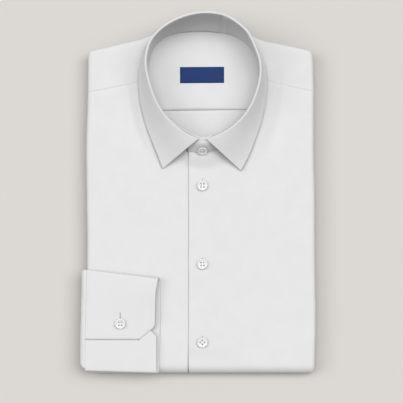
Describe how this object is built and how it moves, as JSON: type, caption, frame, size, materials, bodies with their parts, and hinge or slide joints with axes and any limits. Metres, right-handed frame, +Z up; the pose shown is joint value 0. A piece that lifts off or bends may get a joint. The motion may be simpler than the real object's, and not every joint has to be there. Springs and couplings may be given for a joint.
{
  "type": "folded dress shirt",
  "caption": "White long-sleeved dress shirt, buttoned and folded flat, with a standing turn-down collar and one barrel cuff laid on the front.",
  "frame": {"origin": "under the middle of the folded shirt, on the surface that it lies on", "axes": "+Y towards the collar, +X to the right as seen from above, +Z up"},
  "size_m": [0.2642, 0.4023, 0.0645],
  "materials": {
    "poplin": "fine white cotton poplin, pressed",
    "woven_label": "navy woven satin, bare",
    "button": "white polyester, polished"
  },
  "bodies": {
    "root": {"folded_layers": "poplin", "front_right": "poplin", "front_left": "poplin", "yoke": "poplin", "inner_yoke": "poplin", "back_panel": "poplin", "neck_label": "woven_label", "collar_stand": "poplin", "collar_leaf": "poplin", "cuff": "poplin", "sleeve": "poplin", "front_button_1": "button", "front_button_2": "button", "front_button_3": "button", "cuff_button": "button", "collar_button": "button"}
  },
  "joints": []
}
